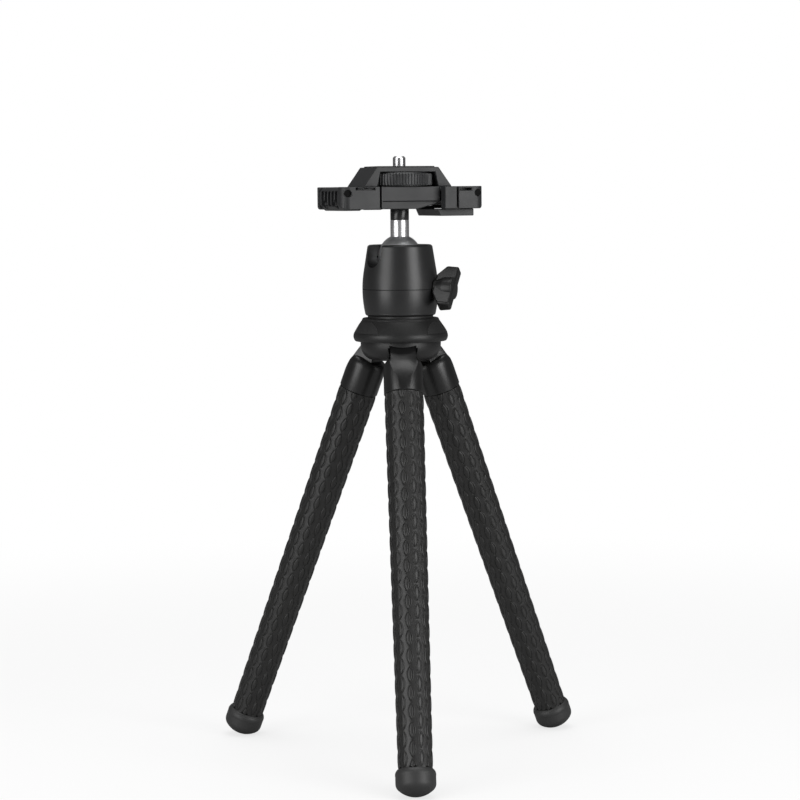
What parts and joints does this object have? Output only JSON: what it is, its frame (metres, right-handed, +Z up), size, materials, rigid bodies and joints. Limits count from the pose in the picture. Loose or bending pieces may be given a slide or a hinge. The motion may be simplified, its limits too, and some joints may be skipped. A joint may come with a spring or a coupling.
{
  "type": "mini tripod",
  "caption": "Table-top tripod with bendable rubber-sleeved legs, a lockable ball head and a folding clamp with a camera screw.",
  "frame": {"origin": "on the tripod's axis at floor level, midway between the three feet", "axes": "+Z up along the hub and the ball head, -Y towards the front leg, +X to the right"},
  "size_m": [0.1844, 0.1623, 0.3037],
  "materials": {
    "black_casting": "satin",
    "hub_shell": "satin",
    "grip_rubber": "textured matte",
    "steel": "bright",
    "dark_steel": "black oxide",
    "washer_nylon": "smooth",
    "ferrule_black": "satin black",
    "sleeve_rubber": "moulded pattern, matte",
    "soft_wire": "dull",
    "foot_rubber": "smooth matte",
    "housing_black": "satin black",
    "seat_plastic": "smooth",
    "brass": "turned",
    "knob_black": "satin",
    "ball_steel": "satin grey",
    "stem_steel": "polished",
    "collar_black": "satin black",
    "clamp_plastic": "fine moulded grain",
    "wheel_plastic": "grooved rim",
    "pad_rubber": "fine ribs"
  },
  "bodies": {
    "hub": {"hub_body": "black_casting", "hub_cap": "hub_shell", "grip_pads": "grip_rubber", "leg_pins": "dark_steel", "hub_screws": "dark_steel", "head_screw": "dark_steel", "head_washer": "washer_nylon"},
    "front_leg_upper": {"front_leg_ferrule": "ferrule_black", "front_leg_upper_sleeve": "sleeve_rubber", "front_leg_upper_core": "soft_wire", "front_leg_bend_sleeve": "sleeve_rubber", "front_leg_bend_core": "soft_wire"},
    "front_leg_lower": {"front_leg_lower_sleeve": "sleeve_rubber", "front_leg_lower_core": "soft_wire", "front_foot": "foot_rubber"},
    "right_leg_upper": {"right_leg_ferrule": "ferrule_black", "right_leg_upper_sleeve": "sleeve_rubber", "right_leg_upper_core": "soft_wire", "right_leg_bend_sleeve": "sleeve_rubber", "right_leg_bend_core": "soft_wire"},
    "right_leg_lower": {"right_leg_lower_sleeve": "sleeve_rubber", "right_leg_lower_core": "soft_wire", "right_foot": "foot_rubber"},
    "left_leg_upper": {"left_leg_ferrule": "ferrule_black", "left_leg_upper_sleeve": "sleeve_rubber", "left_leg_upper_core": "soft_wire", "left_leg_bend_sleeve": "sleeve_rubber", "left_leg_bend_core": "soft_wire"},
    "left_leg_lower": {"left_leg_lower_sleeve": "sleeve_rubber", "left_leg_lower_core": "soft_wire", "left_foot": "foot_rubber"},
    "ball_head": {"head_housing": "housing_black", "ball_seat_ring": "seat_plastic", "ball_cup": "seat_plastic", "push_block": "brass", "lock_wedge": "steel", "head_base_plate": "housing_black"},
    "lock": {"lock_knob": "knob_black", "lock_screw": "steel"},
    "ball_and_stem": {"ball": "ball_steel", "stem": "stem_steel"},
    "clamp": {"clamp_base": "clamp_plastic", "collar": "collar_black", "camera_block": "clamp_plastic", "platform_pad": "pad_rubber", "fixed_arm_pin": "dark_steel", "block_screws": "dark_steel", "jaw_springs": "steel"},
    "thumb_wheel": {"camera_wheel": "wheel_plastic", "camera_screw": "steel"},
    "jaw": {"jaw_carriage": "clamp_plastic", "guide_rods": "steel", "sliding_arm_pin": "dark_steel"},
    "left_arm": {"fixed_arm": "clamp_plastic", "fixed_arm_pads": "pad_rubber"},
    "right_arm": {"sliding_arm": "clamp_plastic", "sliding_arm_pads": "pad_rubber"}
  },
  "joints": [
    {"name": "front_leg_swing", "type": "hinge", "parent": "hub", "child": "front_leg_upper", "pos_m": [0, -0.0164, 0.20556], "axis": [-1, 0, 0], "range_deg": [-21.7, 30]},
    {"name": "front_leg_bend", "type": "hinge", "parent": "front_leg_upper", "child": "front_leg_lower", "pos_m": [0, -0.05874, 0.09917], "axis": [1, 0, 0], "range_deg": [-60, 60], "deforming": ["front_leg_bend_sleeve", "front_leg_bend_core"]},
    {"name": "right_leg_swing", "type": "hinge", "parent": "hub", "child": "right_leg_upper", "pos_m": [0.0142, 0.0082, 0.20556], "axis": [0.5, -0.866, 0], "range_deg": [-21.7, 30]},
    {"name": "right_leg_bend", "type": "hinge", "parent": "right_leg_upper", "child": "right_leg_lower", "pos_m": [0.05087, 0.02937, 0.09917], "axis": [-0.5, 0.866, 0], "range_deg": [-60, 60], "deforming": ["right_leg_bend_sleeve", "right_leg_bend_core"]},
    {"name": "left_leg_swing", "type": "hinge", "parent": "hub", "child": "left_leg_upper", "pos_m": [-0.0142, 0.0082, 0.20556], "axis": [0.5, 0.866, 0], "range_deg": [-21.7, 30]},
    {"name": "left_leg_bend", "type": "hinge", "parent": "left_leg_upper", "child": "left_leg_lower", "pos_m": [-0.05087, 0.02937, 0.09917], "axis": [-0.5, -0.866, 0], "range_deg": [-60, 60], "deforming": ["left_leg_bend_sleeve", "left_leg_bend_core"]},
    {"name": "head_pan", "type": "hinge", "parent": "hub", "child": "ball_head", "pos_m": [0, 0, 0.22371], "axis": [0, 0, 1], "continuous": true},
    {"name": "lock_knob_turn", "type": "hinge", "parent": "ball_head", "child": "lock", "pos_m": [0.01827, -0.00813, 0.23751], "axis": [0.9135, -0.4067, 0], "range_deg": [0, 300]},
    {"name": "ball_tilt", "type": "hinge", "parent": "ball_head", "child": "ball_and_stem", "pos_m": [0, 0, 0.25356], "axis": [-0.5592, 0.829, 0], "range_deg": [-90, 25]},
    {"name": "clamp_spin", "type": "hinge", "parent": "ball_and_stem", "child": "clamp", "pos_m": [0, 0, 0.27166], "axis": [0, 0, 1], "continuous": true},
    {"name": "camera_wheel_turn", "type": "hinge", "parent": "clamp", "child": "thumb_wheel", "pos_m": [0, 0, 0.28886], "axis": [0, 0, 1], "continuous": true},
    {"name": "jaw_slide", "type": "slide", "parent": "clamp", "child": "jaw", "axis": [0.9466, 0.3223, 0], "range_m": [0, 0.028], "stiffness_N_per_m": 200, "springref_m": -0.01, "deforming": ["jaw_springs"]},
    {"name": "fixed_arm_fold", "type": "hinge", "parent": "clamp", "child": "left_arm", "pos_m": [-0.03294, -0.01121, 0.28516], "axis": [0.3223, -0.9466, 0], "range_deg": [0, 90]},
    {"name": "sliding_arm_fold", "type": "hinge", "parent": "jaw", "child": "right_arm", "pos_m": [0.03294, 0.01121, 0.28516], "axis": [-0.3223, 0.9466, 0], "range_deg": [0, 90]}
  ]
}
